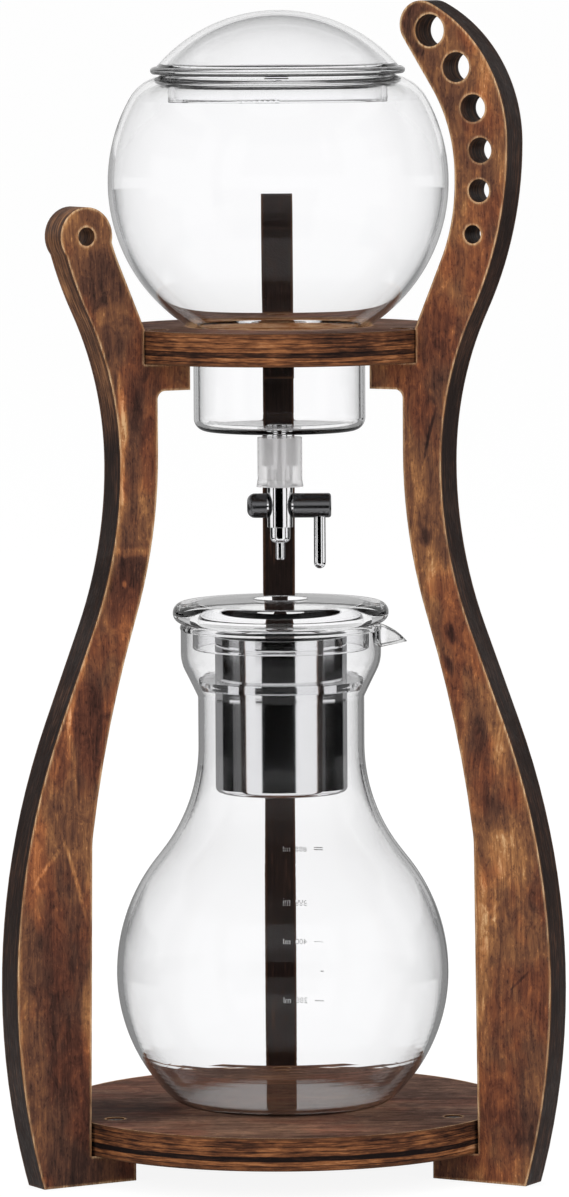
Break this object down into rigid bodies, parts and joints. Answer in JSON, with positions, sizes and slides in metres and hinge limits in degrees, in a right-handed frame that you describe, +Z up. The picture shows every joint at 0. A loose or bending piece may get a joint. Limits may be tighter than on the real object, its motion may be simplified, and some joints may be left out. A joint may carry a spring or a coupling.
{
  "type": "cold drip coffee tower",
  "caption": "Three-legged wooden stand holding a lidded glass water globe whose lever valve drips through a lidded glass flask's steel filter cup.",
  "frame": {"origin": "on the table, at the centre of the tower's bounding box; the globe, valve, flask and shelf share one upright axis at X = 0, Y = -15.1 mm", "axes": "+Z up; the front of the tower, where the flask slides out, faces -Y; +X to the right, towards the tall leg, the valve's lever and the spout"},
  "size_m": [0.1966, 0.1902, 0.4122],
  "materials": {
    "charred_wood": "torched and sanded pine board, satin",
    "dark_board": "dark torched board, satin",
    "screw_steel": "blackened screw heads",
    "clear_glass": "clear blown borosilicate glass",
    "silicone": "milky translucent silicone",
    "polished_steel": "polished stainless steel",
    "dark_steel": "turned stainless steel, dark in reflection",
    "seal_rubber": "black rubber O-ring"
  },
  "bodies": {
    "stand": {"leg_left": "charred_wood", "leg_rear": "charred_wood", "leg_tall": "charred_wood", "base_board": "dark_board", "shelf_ring": "dark_board", "base_screws": "screw_steel", "shelf_screws": "screw_steel"},
    "globe_unit": {"globe": "clear_glass", "silicone_sleeve": "silicone", "valve_body": "polished_steel", "valve_nozzle": "polished_steel", "drip_tip": "polished_steel"},
    "globe_cover": {"globe_lid": "clear_glass"},
    "valve_spindle": {"valve_plug": "polished_steel", "plug_seals": "seal_rubber", "valve_knob": "dark_steel", "valve_lever": "polished_steel", "valve_end_cap": "dark_steel"},
    "flask_unit": {"flask": "clear_glass"},
    "flask_cover": {"flask_lid": "clear_glass"},
    "filter_unit": {"filter_cup": "polished_steel", "filter_strainer": "polished_steel", "filter_gasket": "silicone"}
  },
  "joints": [
    {"name": "globe_lift", "type": "slide", "parent": "stand", "child": "globe_unit", "axis": [0, 0, 1], "range_m": [0, 0.015]},
    {"name": "globe_lid_lift", "type": "slide", "parent": "globe_unit", "child": "globe_cover", "axis": [0, 0, 1], "range_m": [0, 0.06]},
    {"name": "valve_turn", "type": "hinge", "parent": "globe_unit", "child": "valve_spindle", "pos_m": [0, -0.01507, 0.2344], "axis": [1, 0, 0], "continuous": true},
    {"name": "flask_slide_out", "type": "slide", "parent": "stand", "child": "flask_unit", "axis": [0, -1, 0], "range_m": [0, 0.15]},
    {"name": "flask_lid_lift", "type": "slide", "parent": "flask_unit", "child": "flask_cover", "axis": [0, 0, 1], "range_m": [0, 0.008]},
    {"name": "filter_lift", "type": "slide", "parent": "flask_unit", "child": "filter_unit", "axis": [0, 0, 1], "range_m": [0, 0.006]}
  ]
}
